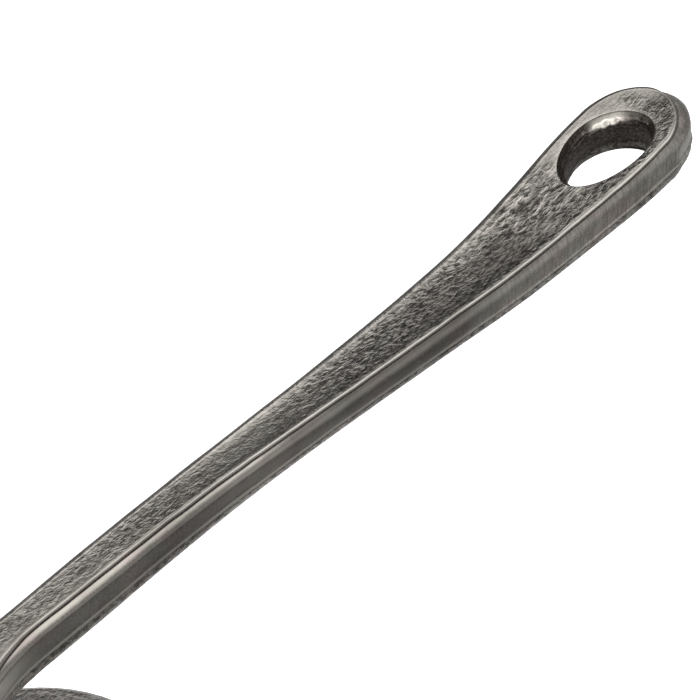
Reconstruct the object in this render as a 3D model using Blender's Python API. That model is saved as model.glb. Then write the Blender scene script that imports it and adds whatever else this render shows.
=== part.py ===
"""Cockspur window handle (casement fastener) with a pear-shaped, eyed lever.

Row frame, metres, +Z up:
  origin  pivot axis of the lever, on the back face of the plate
  +Z      along the pivot, out of the sash and into the room
  +X      along the lever, from the pivot towards the eye, lever closed
  -Y      the way the cockspur nose points, over the fixed frame, lever closed
The lever, the nose, the spindle and what is clipped to it turn together about +Z.
"""
import math

import bmesh
import bpy
from mathutils import Vector

MM = 0.001

# ---------------------------------------------------------------- driving dimensions, millimetres
GAP = 0.3                    # clearance kept between neighbouring solids

PLATE_LEN, PLATE_WID = 80.0, 26.0
PLATE_T = 4.0                # plate thickness at its edge
PLATE_BEVEL = 1.4
BOSS_R, BOSS_TOP = 12.0, 7.0
RECESS_R, RECESS_Z = 9.0, 3.4   # counterbore in the back
SCREW_X = 29.0               # fixing screws at +-29: 58 mm centres
SCREW_HOLE_R, SCREW_SINK_R = 2.35, 4.6

BUSH_IN_R, BUSH_OUT_R, BUSH_FLANGE_R = 3.6, 4.5, 5.8
BUSH_FLANGE_Z0, BUSH_FLANGE_Z1 = 7.3, 8.1
WASHER_Z0, WASHER_Z1, WASHER_R = 8.4, 8.9, 5.8

NOSE_Z0, NOSE_Z1 = 7.6, 15.0
NOSE_SINK_R, NOSE_SINK_Z = 6.2, 9.2   # counterbore under the nose, over the bush flange and washer
NOSE_RING_R = 12.0
NOSE_REACH = 27.0            # tip of the nose from the pivot axis
NOSE_TIP_HALF = 4.6
NOSE_ROOT_HALF = 8.6

HUB_R = 12.0
HUB_Z0, HUB_Z1 = 15.3, 20.8
SQUARE = 5.8                 # spindle square, across the flats
JOURNAL_R = 3.5
HEAD_R, HEAD_H = 5.6, 2.3

PIN_R, PIN_ORBIT, PIN_ANGLE = 1.2, 8.8, 135.0
GROOVE_TOP = 11.3
TURN = 90.0                  # opening turn of the lever, degrees
LOCK_R, LOCK_ORBIT, LOCK_ANGLE = 2.0, 9.1, -45.0
LOCK_TRAVEL = 2.4

# ---------------------------------------------------------------- lever shape
EYE_X = 124.0                # centre of the eye from the pivot axis
EYE_Z = 26.6                 # front face at the centre of the eye
TIP_X = EYE_X + 12.0         # far end of the lever
EYE_A, EYE_B, EYE_EGG = 6.45, 3.9, 0.1   # half length, half width and egg shape of the eye
ARM_FILLET = 26.0            # plan fillet between hub and arm
END_FROM = EYE_X + 4.0       # where the rounded end starts
END_POW = 1.65

# stations along the lever, x from the pivot: half width of the face
HALF_WIDTH = [(26, 1.95), (34, 2.1), (44, 2.2), (54, 2.35), (64, 2.6), (74, 2.88), (84, 3.22),
              (94, 3.65), (104, 4.18), (114, 4.88), (119, 5.3), (124, 5.55), (128, 5.5)]
# height of the front face over the back of the plate
FACE_Z = [(-12, 20.8), (-2, 20.8), (9, 20.8), (24, 21.15), (34, 21.7), (44, 22.2), (54, 22.5), (66, 22.6),
          (84, 22.7), (94, 22.95), (104, 23.45), (114, 24.8), (124, 26.6), (128, 27.2), (136, 28.15)]
# thickness under the front face, measured square to it
THICK = [(-12, 5.5), (0, 5.5), (12, 5.5), (24, 5.6), (34, 5.4), (44, 5.1), (54, 4.75), (64, 4.4), (78, 4.2),
         (94, 4.35), (104, 4.6), (124, 5.2), (136, 5.6)]


def spline(table):
    """Natural cubic through a list of (x, value) stations; returns f(x) and its slope."""
    xs = [p[0] for p in table]
    ys = [p[1] for p in table]
    n = len(xs)
    h = [xs[i + 1] - xs[i] for i in range(n - 1)]
    lower, diag, rhs = [0.0] * n, [1.0] * n, [0.0] * n
    upper = [0.0] * n
    for i in range(1, n - 1):
        lower[i], diag[i], upper[i] = h[i - 1], 2 * (h[i - 1] + h[i]), h[i]
        rhs[i] = 6 * ((ys[i + 1] - ys[i]) / h[i] - (ys[i] - ys[i - 1]) / h[i - 1])
    for i in range(1, n):
        w = lower[i] / diag[i - 1]
        diag[i] -= w * upper[i - 1]
        rhs[i] -= w * rhs[i - 1]
    m = [0.0] * n
    m[-1] = rhs[-1] / diag[-1]
    for i in range(n - 2, -1, -1):
        m[i] = (rhs[i] - upper[i] * m[i + 1]) / diag[i]

    def at(x):
        i = 0
        while i < n - 2 and x > xs[i + 1]:
            i += 1
        d, a, b = h[i], xs[i + 1] - x, x - xs[i]
        value = (m[i] * a ** 3 + m[i + 1] * b ** 3) / (6 * d) \
            + (ys[i] / d - m[i] * d / 6) * a + (ys[i + 1] / d - m[i + 1] * d / 6) * b
        slope = (m[i + 1] * b ** 2 - m[i] * a ** 2) / (2 * d) \
            + (ys[i + 1] - ys[i]) / d - (m[i + 1] - m[i]) * d / 6
        return value, slope
    return at


arm_half = spline(HALF_WIDTH)
face_z = spline(FACE_Z)
thick = spline(THICK)
W0 = HALF_WIDTH[0][1]
FILLET_X = math.sqrt((HUB_R + ARM_FILLET) ** 2 - (W0 + ARM_FILLET) ** 2)
FILLET_TOUCH = FILLET_X * HUB_R / (HUB_R + ARM_FILLET)


def half_width(x):
    """Half width of the lever seen from the front, at x from the pivot."""
    if x <= FILLET_TOUCH:
        return math.sqrt(max(HUB_R ** 2 - x ** 2, 0.0))
    if x <= FILLET_X:
        return W0 + ARM_FILLET - math.sqrt(max(ARM_FILLET ** 2 - (x - FILLET_X) ** 2, 0.0))
    if x <= END_FROM:
        return arm_half(max(x, HALF_WIDTH[0][0]))[0]
    u = min((x - END_FROM) / (TIP_X - END_FROM), 1.0)
    return arm_half(END_FROM)[0] * math.sqrt(max(1.0 - u ** END_POW, 0.0))


def lever_point(x, y, down):
    """A point at (x, y) on the lever's plan, that far under its front face, square to the face."""
    z, slope = face_z(x)
    k = 1.0 / math.hypot(1.0, slope)
    return Vector(((x + slope * k * down) * MM, y * MM, (z - k * down) * MM))


# ---------------------------------------------------------------- helpers
def clear_scene():
    for o in list(bpy.data.objects):
        bpy.data.objects.remove(o, do_unlink=True)


def material(name, colour, metallic, roughness):
    m = bpy.data.materials.new(name)
    m.use_nodes = True
    p = m.node_tree.nodes["Principled BSDF"]
    p.inputs["Base Color"].default_value = (*colour, 1.0)
    p.inputs["Metallic"].default_value = metallic
    p.inputs["Roughness"].default_value = roughness
    m.diffuse_color = (*colour, 1.0)
    return m


def add_object(name, bm, mat=None, smooth=True, parent=None, at=(0, 0, 0)):
    """Mesh object from a bmesh. Points in bm are in row-frame metres, less `at`, the object's own origin."""
    bmesh.ops.remove_doubles(bm, verts=bm.verts, dist=1e-7)
    bmesh.ops.recalc_face_normals(bm, faces=bm.faces)
    me = bpy.data.meshes.new(name)
    bm.to_mesh(me)
    bm.free()
    if smooth:
        me.shade_smooth()
        me.set_sharp_from_angle(angle=math.radians(35))
    o = bpy.data.objects.new(name, me)
    bpy.context.scene.collection.objects.link(o)
    if mat:
        me.materials.append(mat)
    o.location = Vector(at)
    if parent:
        o.parent = parent
    return o


def turned(profile, n, centre=(0.0, 0.0)):
    """Solid of revolution about a vertical axis. profile: closed list of (r, z) in mm, r = 0 allowed at the ends."""
    bm = bmesh.new()
    rings = []
    for r, z in profile:
        if r == 0:
            rings.append([bm.verts.new((centre[0] * MM, centre[1] * MM, z * MM))])
        else:
            rings.append([bm.verts.new(((centre[0] + r * math.cos(2 * math.pi * k / n)) * MM,
                                        (centre[1] + r * math.sin(2 * math.pi * k / n)) * MM, z * MM))
                          for k in range(n)])
    pairs = list(zip(rings, rings[1:]))
    if profile[0][0] != 0 or profile[-1][0] != 0:
        pairs.append((rings[-1], rings[0]))
    for a, b in pairs:
        for k in range(n):
            j = (k + 1) % n
            if len(a) == 1 and len(b) == 1:
                break
            if len(a) == 1:
                bm.faces.new((a[0], b[k], b[j]))
            elif len(b) == 1:
                bm.faces.new((a[k], a[j], b[0]))
            else:
                bm.faces.new((a[k], a[j], b[j], b[k]))
    return bm


def prism(points, z0, z1):
    """Upright prism over a closed plan outline in mm."""
    bm = bmesh.new()
    low = [bm.verts.new((x * MM, y * MM, z0 * MM)) for x, y in points]
    high = [bm.verts.new((x * MM, y * MM, z1 * MM)) for x, y in points]
    n = len(points)
    bm.faces.new(list(reversed(low)))
    bm.faces.new(high)
    for k in range(n):
        j = (k + 1) % n
        bm.faces.new((low[k], low[j], high[j], high[k]))
    return bm


def circle(r, n, cx=0.0, cy=0.0):
    return [(cx + r * math.cos(2 * math.pi * k / n), cy + r * math.sin(2 * math.pi * k / n)) for k in range(n)]


def stadium(half_len, r, n):
    """Closed outline with straight sides and round ends, long along X."""
    c = half_len - r
    right = [(c + r * math.cos(a), r * math.sin(a)) for a in
             [math.radians(-90 + 180 * k / n) for k in range(n + 1)]]
    left = [(-x, -y) for x, y in right]
    return right + left


def cut(target, cutter):
    """Boolean difference with a cutter that is not part of the model."""
    cutter.hide_render = True
    cutter.display_type = "WIRE"
    m = target.modifiers.new("cut_" + cutter.name, "BOOLEAN")
    m.operation = "DIFFERENCE"
    m.solver = "EXACT"
    m.object = cutter


def polar(r, degrees):
    return r * math.cos(math.radians(degrees)), r * math.sin(math.radians(degrees))


# ---------------------------------------------------------------- build
def main():
    clear_scene()
    pewter = material("cast_pewter", (0.15, 0.14, 0.135), 0.85, 0.45)
    steel = material("dark_steel", (0.20, 0.195, 0.19), 0.9, 0.4)
    spring = material("spring_steel", (0.42, 0.42, 0.43), 1.0, 0.3)
    nylon = material("nylon", (0.62, 0.60, 0.55), 0.0, 0.5)
    fibre = material("fibre", (0.10, 0.035, 0.025), 0.0, 0.7)

    pivot = bpy.data.objects.new("pivot_axis", None)
    bpy.context.scene.collection.objects.link(pivot)

    # ---- base plate: bevelled stadium with a round boss, counterbored from behind
    bm = bmesh.new()
    rows = []
    outline_levels = [(0.0, 0.0), (0.0, PLATE_T - PLATE_BEVEL), (PLATE_BEVEL * 0.35, PLATE_T - PLATE_BEVEL * 0.35),
                      (PLATE_BEVEL, PLATE_T)]
    for inset, z in outline_levels:
        pts = stadium(PLATE_LEN / 2 - inset, PLATE_WID / 2 - inset, 24)
        rows.append([bm.verts.new((x * MM, y * MM, z * MM)) for x, y in pts])
    n = len(rows[0])
    for a, b in zip(rows, rows[1:]):
        for k in range(n):
            j = (k + 1) % n
            bm.faces.new((a[k], a[j], b[j], b[k]))
    bm.faces.new(list(reversed(rows[0])))
    bm.faces.new(rows[-1])
    plate = add_object("back_plate", bm, pewter)
    boss = add_object("boss_form", turned([(0, PLATE_T - 1.0), (BOSS_R + 0.6, PLATE_T - 1.0), (BOSS_R + 0.6, PLATE_T + 0.1),
                                           (BOSS_R + 0.15, PLATE_T + 0.5), (BOSS_R, PLATE_T + 1.0),
                                           (BOSS_R, BOSS_TOP - 0.5), (BOSS_R - 0.5, BOSS_TOP), (0, BOSS_TOP)], 64))
    boss.hide_render = True
    boss.display_type = "WIRE"
    join = plate.modifiers.new("boss", "BOOLEAN")
    join.operation = "UNION"
    join.solver = "EXACT"
    join.object = boss
    cut(plate, add_object("cut_recess", prism(circle(RECESS_R, 56), -1.0, RECESS_Z)))
    cut(plate, add_object("cut_bore", prism(circle(BUSH_OUT_R + GAP, 48), -2.0, BOSS_TOP + 1.0)))
    px, py = polar(PIN_ORBIT, PIN_ANGLE)
    cut(plate, add_object("cut_pin", prism(circle(PIN_R + GAP, 24, px, py), 4.6, BOSS_TOP + 1.0)))
    for i, turn in enumerate((0.0, TURN)):      # pockets for the locking screw, lever closed and lever open
        lx, ly = polar(LOCK_ORBIT, LOCK_ANGLE + turn)
        cut(plate, add_object("cut_pocket_%d" % i, prism(circle(LOCK_R + 0.4, 24, lx, ly), 4.6, BOSS_TOP + 1.0)))
    for i, sx in enumerate((SCREW_X, -SCREW_X)):
        cut(plate, add_object("cut_screw_%d" % i, turned(
            [(0, PLATE_T + 1.0), (SCREW_SINK_R + 1.0, PLATE_T + 1.0), (SCREW_SINK_R, PLATE_T),
             (SCREW_HOLE_R, PLATE_T - 2.3), (SCREW_HOLE_R, -1.0), (0, -1.0)], 40, (sx, 0))))

    # ---- bush, washers
    add_object("pivot_bush", turned([(BUSH_IN_R, RECESS_Z + 0.4), (BUSH_OUT_R, RECESS_Z + 0.4), (BUSH_OUT_R, BUSH_FLANGE_Z0),
                                     (BUSH_FLANGE_R, BUSH_FLANGE_Z0), (BUSH_FLANGE_R, BUSH_FLANGE_Z1),
                                     (BUSH_IN_R, BUSH_FLANGE_Z1)], 64), nylon)
    add_object("friction_washer", turned([(4.3, WASHER_Z0), (WASHER_R, WASHER_Z0), (WASHER_R, WASHER_Z1),
                                          (4.3, WASHER_Z1)], 48), fibre)
    add_object("thrust_washer", turned([(4.0, 2.6), (8.2, 2.6), (8.2, 3.1), (4.0, 3.1)], 48), spring)

    # ---- wave washer: three waves round a thin ring
    bm = bmesh.new()
    n, inner, outer, t = 48, 4.2, 7.8, 0.3
    rings = []
    for r, lift in ((inner, 0.0), (outer, 0.0), (outer, t), (inner, t)):
        rings.append([bm.verts.new((r * math.cos(2 * math.pi * k / n) * MM, r * math.sin(2 * math.pi * k / n) * MM,
                                    (1.92 + lift + 0.14 * math.cos(3 * 2 * math.pi * k / n)) * MM)) for k in range(n)])
    for a, b in zip(rings, rings[1:] + rings[:1]):
        for k in range(n):
            j = (k + 1) % n
            bm.faces.new((a[k], a[j], b[j], b[k]))
    add_object("wave_washer", bm, spring, parent=pivot)

    # ---- retaining clip: three-quarter ring with three inner lugs
    pts = []
    for k in range(49):
        a = -90 + 38 + (360 - 76) * k / 48
        pts.append(polar(6.6, a))
    inner_pts = []
    for k in range(49):
        deg = 38 + (360 - 76) * k / 48
        near_lug = min(abs(deg - 60), abs(deg - 180), abs(deg - 300)) < 16
        inner_pts.append(polar(3.25 if near_lug else 4.6, deg - 90))
    add_object("retaining_clip", prism(pts + inner_pts[::-1], 0.85, 1.45), spring, parent=pivot)

    # ---- stop pin
    add_object("stop_pin", turned([(0, 5.0), (PIN_R, 5.0), (PIN_R, 10.4), (PIN_R - 0.25, 10.7), (0, 10.7)], 24, (px, py)), spring)

    # ---- spindle: domed head, square shank, round journal, clip groove
    dome = [(0, HUB_Z1 + 0.3)]
    dome += [(HEAD_R - 0.15, HUB_Z1 + 0.3), (HEAD_R, HUB_Z1 + 0.5), (HEAD_R, HUB_Z1 + 0.9)]
    for k in range(1, 9):
        a = math.radians(90 * k / 8)
        dome.append((HEAD_R * math.cos(a) if k < 8 else 0, HUB_Z1 + 0.9 + (HEAD_H - 0.9) * math.sin(a)))
    spindle = add_object("spindle", turned(dome, 48), steel, parent=pivot)
    square = add_object("square_form", prism([(SQUARE / 2, -SQUARE / 2), (SQUARE / 2, SQUARE / 2),
                                              (-SQUARE / 2, SQUARE / 2), (-SQUARE / 2, -SQUARE / 2)],
                                             BUSH_FLANGE_Z1 + 0.3, HUB_Z1 + 0.8))
    journal = add_object("journal_form", turned(
        [(0, NOSE_SINK_Z - 0.3), (JOURNAL_R, NOSE_SINK_Z - 0.3), (JOURNAL_R, 1.62), (2.9, 1.62), (2.9, 0.72), (JOURNAL_R, 0.72),
         (JOURNAL_R, 0.5), (JOURNAL_R - 0.25, 0.3), (0, 0.3)], 64))
    for form in (square, journal):
        form.hide_render = True
        form.display_type = "WIRE"
        u = spindle.modifiers.new(form.name, "BOOLEAN")
        u.operation = "UNION"
        u.solver = "EXACT"
        u.object = form

    # ---- square hole and locking-screw hole, shared by the nose and the lever
    half = SQUARE / 2 + GAP
    square_hole = [(half, -half), (half, half), (-half, half), (-half, -half)]
    lx, ly = polar(LOCK_ORBIT, LOCK_ANGLE)
    square_cut = add_object("cut_square", prism(square_hole, 0.0, 30.0))
    lock_cut = add_object("cut_lock", prism(circle(LOCK_R + GAP, 28, lx, ly), 0.0, 30.0))

    # ---- cockspur nose: ring with a tapered beak towards -Y, ramped on the side that meets the keeper first
    pts = []
    tip_r = NOSE_TIP_HALF
    start = math.degrees(math.asin(NOSE_ROOT_HALF / NOSE_RING_R))
    for k in range(41):                        # round the ring, clear of the beak
        a = -90 + start + (360 - 2 * start) * k / 40
        pts.append(polar(NOSE_RING_R, a))
    for k in range(1, 9):                      # left flank, drawn in with a hollow curve
        u = k / 9
        y0 = -math.sqrt(NOSE_RING_R ** 2 - NOSE_ROOT_HALF ** 2)
        y1 = -(NOSE_REACH - tip_r)
        w = NOSE_ROOT_HALF + (tip_r - NOSE_ROOT_HALF) * math.sin(u * math.pi / 2) ** 0.9
        pts.append((-w, y0 + (y1 - y0) * u))
    for k in range(13):                        # rounded tip
        a = 180 + 180 * k / 12
        pts.append((tip_r * math.cos(math.radians(a)), -(NOSE_REACH - tip_r) + tip_r * math.sin(math.radians(a))))
    for k in range(8, 0, -1):
        u = k / 9
        y0 = -math.sqrt(NOSE_RING_R ** 2 - NOSE_ROOT_HALF ** 2)
        y1 = -(NOSE_REACH - tip_r)
        w = NOSE_ROOT_HALF + (tip_r - NOSE_ROOT_HALF) * math.sin(u * math.pi / 2) ** 0.9
        pts.append((w, y0 + (y1 - y0) * u))
    nose = add_object("cockspur_nose", prism(pts, NOSE_Z0, NOSE_Z1), pewter, parent=pivot)
    ramp = bmesh.new()
    quad = [(-30.0, NOSE_Z0 - 1.0), (-1.5, NOSE_Z0 - 1.0), (-1.5, NOSE_Z0), (-6.0, NOSE_Z0 + 2.0), (-30.0, NOSE_Z0 + 12.0)]
    front = [ramp.verts.new((x * MM, -13.2 * MM, z * MM)) for x, z in quad]
    back = [ramp.verts.new((x * MM, -40.0 * MM, z * MM)) for x, z in quad]
    ramp.faces.new(front)
    ramp.faces.new(list(reversed(back)))
    for k in range(5):
        j = (k + 1) % 5
        ramp.faces.new((front[j], front[k], back[k], back[j]))
    cut(nose, add_object("cut_ramp", ramp))
    groove = []
    reach = math.degrees((PIN_R + GAP) / PIN_ORBIT) + 1.0
    g0, g1 = PIN_ANGLE - TURN - reach, PIN_ANGLE + reach
    for k in range(25):
        groove.append(polar(PIN_ORBIT + PIN_R + GAP, g0 + (g1 - g0) * k / 24))
    for k in range(24, -1, -1):
        groove.append(polar(PIN_ORBIT - PIN_R - GAP, g0 + (g1 - g0) * k / 24))
    cut(nose, add_object("cut_groove", prism(groove, NOSE_Z0 - 1.0, GROOVE_TOP)))
    cut(nose, add_object("cut_sink", prism(circle(NOSE_SINK_R, 48), NOSE_Z0 - 1.0, NOSE_SINK_Z)))
    cut(nose, square_cut)
    cut(nose, lock_cut)

    # ---- lever: sections square to X, carried along the face curve
    xs = [-HUB_R + (HUB_R + FILLET_TOUCH) * (1 - math.cos(math.pi * k / 28 * 0.62)) / (1 - math.cos(math.pi * 0.62))
          for k in range(29)]
    xs = [x for x in xs if x < FILLET_TOUCH - 0.3]
    xs += [FILLET_TOUCH + (FILLET_X - FILLET_TOUCH) * k / 6 for k in range(7)]
    xs += [FILLET_X + (END_FROM - FILLET_X) * k / 34 for k in range(1, 35)]
    xs += [END_FROM + (TIP_X - END_FROM) * math.sin(math.pi / 2 * k / 12) for k in range(1, 13)]
    bm = bmesh.new()
    sections = []
    for x in xs:
        w = max(half_width(x), 0.35)
        t = thick(x)[0]
        k = min(1.0, w / 2.0)
        dish, crest, bulge, foot = 1.1 * k, 0.4 * k, 0.12 * k, min(1.3, 0.55 * w)
        half_section = [(w - dish, 0.22 * k), (w - crest, 0.0), (w, 0.5 * k), (w + bulge, 0.42 * t),
                        (w + bulge * 0.6, 0.74 * t), (w - foot * 0.4, 0.93 * t), (w - foot, t)]
        loop = [(y, d) for y, d in half_section] + [(-y, d) for y, d in reversed(half_section)]
        if x > TIP_X - 0.01 or x < -HUB_R + 0.01:     # close the ends on one upright line
            loop = [(0.0, d) for _, d in loop]
        sections.append([bm.verts.new(lever_point(x, y, d)) for y, d in loop])
    m = len(sections[0])
    for a, b in zip(sections, sections[1:]):
        for k in range(m):
            j = (k + 1) % m
            bm.faces.new((a[k], a[j], b[j], b[k]))
    bmesh.ops.remove_doubles(bm, verts=bm.verts, dist=1e-6)
    bmesh.ops.dissolve_degenerate(bm, edges=bm.edges, dist=1e-6)
    lever = add_object("lever", bm, pewter, parent=pivot)
    # the eye: an oval cutter square to the face at the eye
    eye = bmesh.new()
    low, high = [], []
    n = 48
    for k in range(n):
        a = 2 * math.pi * k / n
        ex, ey = EYE_A * math.cos(a), EYE_B * math.sin(a) * (1 + EYE_EGG * math.cos(a))
        high.append(eye.verts.new(lever_point(EYE_X, ey, -4.0) + ex * face_direction()))
        low.append(eye.verts.new(lever_point(EYE_X, ey, 12.0) + ex * face_direction()))
    eye.faces.new(high)
    eye.faces.new(list(reversed(low)))
    for k in range(n):
        j = (k + 1) % n
        eye.faces.new((low[k], low[j], high[j], high[k]))
    cut(lever, add_object("cut_eye", eye))
    cut(lever, square_cut)
    cut(lever, lock_cut)

    # ---- locking screw: socket grub screw, parked clear of the boss
    hexagon = [(lx + 1.05 * math.cos(math.radians(60 * k)), ly + 1.05 * math.sin(math.radians(60 * k))) for k in range(6)]
    lock = add_object("locking_screw", turned(
        [(0, NOSE_Z0 + 0.2), (1.2, NOSE_Z0 + 0.2), (LOCK_R, NOSE_Z0 + 1.1), (LOCK_R, HUB_Z1 - 1.2),
         (LOCK_R - 0.25, HUB_Z1 - 0.95), (0, HUB_Z1 - 0.95)], 28, (lx, ly)), steel, parent=pivot)
    cut(lock, add_object("cut_hex", prism(hexagon, HUB_Z1 - 3.4, HUB_Z1 + 1.0)))

    # ---- fixing screws: countersunk, slotted
    for name, sx in (("fixing_screw_upper", SCREW_X), ("fixing_screw_lower", -SCREW_X)):
        s = add_object(name, turned([(0, 4.25), (2.2, 4.15), (4.05, 3.78), (4.1, 3.6), (2.0, 1.5), (2.0, -6.0), (1.8, -13.0),
                                     (0.35, -17.0), (0, -17.1)], 32, (sx, 0)), steel)
        slot = prism([(sx - 5, -0.5), (sx + 5, -0.5), (sx + 5, 0.5), (sx - 5, 0.5)], 3.1, 6.0)
        cut(s, add_object("cut_slot_" + name, slot))


def face_direction():
    """Unit vector along the lever's face at the eye, in metres per millimetre."""
    slope = face_z(EYE_X)[1]
    k = 1.0 / math.hypot(1.0, slope)
    return Vector((k, 0.0, slope * k)) * MM


main()
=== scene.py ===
"""Looks of the cockspur window handle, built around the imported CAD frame. Metres, row frame."""
import math

import bmesh
import bpy
import numpy as np
from mathutils import Matrix, Vector, noise
from mathutils.geometry import delaunay_2d_cdt
from mathutils.kdtree import KDTree


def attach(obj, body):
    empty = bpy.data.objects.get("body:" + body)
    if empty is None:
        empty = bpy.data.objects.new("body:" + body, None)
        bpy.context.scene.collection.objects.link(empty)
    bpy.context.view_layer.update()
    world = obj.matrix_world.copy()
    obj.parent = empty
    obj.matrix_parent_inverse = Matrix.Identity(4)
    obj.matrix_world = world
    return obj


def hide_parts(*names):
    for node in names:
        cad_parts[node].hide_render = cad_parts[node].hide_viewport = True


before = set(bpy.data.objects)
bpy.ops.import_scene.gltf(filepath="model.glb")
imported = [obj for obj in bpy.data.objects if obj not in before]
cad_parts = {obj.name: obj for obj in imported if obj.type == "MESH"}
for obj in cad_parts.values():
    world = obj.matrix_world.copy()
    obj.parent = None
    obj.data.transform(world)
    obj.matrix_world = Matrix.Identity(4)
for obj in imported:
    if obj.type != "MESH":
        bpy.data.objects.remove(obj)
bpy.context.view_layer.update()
MM = 0.001

# ------------------------------------------------------------------ lever design, millimetres, as in the CAD model
HUB_R = 12.0
EYE_X, EYE_Z = 124.0, 26.6
TIP_X = EYE_X + 11.0
ARM_FILLET = 26.0
END_FROM, END_POW = EYE_X + 4.0, 1.5
HALF_WIDTH = [(26, 1.95), (34, 2.1), (44, 2.2), (54, 2.35), (64, 2.6), (74, 2.88), (84, 3.22),
              (94, 3.65), (104, 4.18), (114, 4.88), (119, 5.3), (124, 5.55), (128, 5.5)]
FACE_Z = [(-12, 20.8), (-2, 20.8), (9, 20.8), (24, 21.15), (34, 21.7), (44, 22.2), (54, 22.5), (66, 22.6),
          (84, 22.7), (94, 22.95), (104, 23.45), (114, 24.8), (124, 26.6), (128, 27.2), (136, 28.15)]
THICK = [(-12, 5.5), (0, 5.5), (12, 5.5), (24, 5.6), (34, 5.4), (44, 5.1), (54, 4.75), (64, 4.4), (78, 4.2),
         (94, 4.35), (104, 4.6), (124, 5.2), (136, 5.6)]
# how the surface is finished along the lever: rim radius, depth of the dish, roundness of the sides, foot radius
RIM = [(-12, 0.8), (10, 0.7), (26, 0.30), (60, 0.32), (136, 0.30)]
RIM_FAR = [(-12, 0.8), (10, 0.7), (26, 0.42), (45, 0.48), (62, 0.52), (95, 0.50), (112, 0.46), (124, 0.44), (136, 0.42)]
RIM_IN = [(-12, 0.0), (14, 0.0), (24, 0.36), (40, 0.38), (48, 0.34), (60, 0.31), (72, 0.25), (112, 0.24), (120, 0.12), (126, 0.12), (136, 0.30)]
DISH = [(-12, 0.0), (14, 0.0), (26, 0.07), (38, 0.08), (48, 0.11), (58, 0.16), (70, 0.23), (95, 0.33), (108, 0.35), (118, 0.20), (126, 0.14), (136, 0.14)]
SEAM = [(-12, 3.7), (14, 3.7), (26, 3.6), (38, 3.35), (46, 3.18), (62, 2.98), (72, 2.75), (95, 2.88), (112, 3.22), (124, 3.5), (136, 3.8)]
BULGE = [(-12, 0.10), (10, 0.12), (24, 0.34), (36, 0.34), (48, 0.27), (62, 0.20), (90, 0.16), (124, 0.15), (136, 0.15)]
LOW = [(-12, 0.06), (10, 0.07), (24, 0.42), (36, 0.40), (48, 0.29), (62, 0.19), (90, 0.12), (124, 0.09), (136, 0.09)]
GROOVE = [(-12, 0.03), (18, 0.04), (26, 0.0), (45, 0.02), (62, 0.04), (95, 0.05), (136, 0.06)]
STEP = [(-12, 0.10), (18, 0.12), (26, 0.14), (42, 0.13), (55, 0.10), (66, 0.07), (95, 0.08), (136, 0.09)]
ROUND = [(-12, 1.0), (20, 1.2), (26, 1.2), (42, 1.15), (58, 1.0), (136, 1.0)]
POWER = [(-12, 1.6), (20, 2.0), (26, 2.3), (42, 2.4), (60, 3.2), (118, 3.0), (136, 2.6)]
SHOULDER = [(-12, 0.9), (12, 0.9), (26, 0.80), (42, 0.9), (60, 1.12), (66, 1.45), (72, 1.8), (110, 1.9), (124, 1.6), (136, 1.15)]
FOOT = [(-12, 0.9), (12, 0.9), (26, 1.25), (60, 1.15), (90, 1.0), (124, 0.9), (136, 0.9)]
LOCK_XY = (9.1 * math.cos(math.radians(-45)), 9.1 * math.sin(math.radians(-45)))


class Spline:
    """Natural cubic through stations, for arrays."""

    def __init__(self, table):
        self.x = np.array([p[0] for p in table], float)
        self.y = np.array([p[1] for p in table], float)
        n = len(self.x)
        h = np.diff(self.x)
        a, b = np.zeros((n, n)), np.zeros(n)
        a[0, 0] = a[-1, -1] = 1.0
        for i in range(1, n - 1):
            a[i, i - 1], a[i, i], a[i, i + 1] = h[i - 1], 2 * (h[i - 1] + h[i]), h[i]
            b[i] = 6 * ((self.y[i + 1] - self.y[i]) / h[i] - (self.y[i] - self.y[i - 1]) / h[i - 1])
        self.m = np.linalg.solve(a, b)
        self.h = h

    def __call__(self, x, slope=False):
        x = np.asarray(x, float)
        i = np.clip(np.searchsorted(self.x, x) - 1, 0, len(self.x) - 2)
        d, a, b = self.h[i], self.x[i + 1] - x, x - self.x[i]
        m0, m1, y0, y1 = self.m[i], self.m[i + 1], self.y[i], self.y[i + 1]
        if slope:
            return (m1 * b ** 2 - m0 * a ** 2) / (2 * d) + (y1 - y0) / d - (m1 - m0) * d / 6
        return (m0 * a ** 3 + m1 * b ** 3) / (6 * d) + (y0 / d - m0 * d / 6) * a + (y1 / d - m1 * d / 6) * b


arm_half, face_z, thick = Spline(HALF_WIDTH), Spline(FACE_Z), Spline(THICK)
lin = lambda table, x: np.interp(x, [p[0] for p in table], [p[1] for p in table])
W0 = HALF_WIDTH[0][1]
FILLET_X = math.sqrt((HUB_R + ARM_FILLET) ** 2 - (W0 + ARM_FILLET) ** 2)
FILLET_TOUCH = FILLET_X * HUB_R / (HUB_R + ARM_FILLET)


def smooth01(t):
    t = np.clip(t, 0.0, 1.0)
    return t * t * (3 - 2 * t)


def half_width(x):
    x = np.asarray(x, float)
    hub = np.sqrt(np.maximum(HUB_R ** 2 - x ** 2, 0))
    fil = W0 + ARM_FILLET - np.sqrt(np.maximum(ARM_FILLET ** 2 - (x - FILLET_X) ** 2, 0))
    arm = arm_half(np.clip(x, HALF_WIDTH[0][0], END_FROM))
    u = np.clip((x - END_FROM) / (TIP_X - END_FROM), 0, 1)
    end = arm_half(END_FROM) * np.sqrt(np.maximum(1 - u ** END_POW, 0))
    return np.where(x <= FILLET_TOUCH, hub, np.where(x <= FILLET_X, fil, np.where(x <= END_FROM, arm, end)))


def lever_space(x, y, down):
    """Straight lever space to the row frame, in mm: y across, down square to the face."""
    s = face_z(x, slope=True)
    k = 1 / np.sqrt(1 + s * s)
    return np.stack([x + s * k * down, y, face_z(x) - k * down], 1)


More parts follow.
